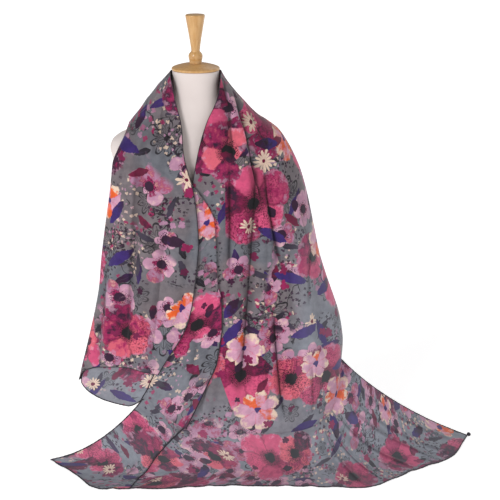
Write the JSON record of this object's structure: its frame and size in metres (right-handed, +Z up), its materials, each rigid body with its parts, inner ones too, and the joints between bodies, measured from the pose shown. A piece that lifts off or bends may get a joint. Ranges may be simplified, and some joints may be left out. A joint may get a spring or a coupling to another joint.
{
  "type": "voile scarf on a tabletop dress form",
  "caption": "Floral voile scarf draped round the neck and shoulders of a limbless tabletop dress form, with its lower end spread in a train on the surface",
  "frame": {"origin": "centre of the stand base's underside, on the surface the form stands on", "axes": "+Z up, -Y the way the dress form faces, +X to the right for someone looking at its front"},
  "size_m": [0.9641, 0.3723, 0.9841],
  "materials": {
    "voile": "semi-sheer grey voile with a painterly floral print in pinks, magenta, violet and orange",
    "hem_thread": "dark rolled hem thread",
    "form_cover": "smooth white jersey cover",
    "beech": "clear satin lacquer on light beech"
  },
  "bodies": {
    "root": {"stand_base": "beech", "stand_pole": "beech", "dress_form": "form_cover", "neck_cap": "beech", "finial": "beech", "scarf_left_fall": "voile", "scarf_right_fall": "voile", "scarf_back": "voile", "scarf_train": "voile", "corner_knot": "hem_thread"}
  },
  "joints": []
}
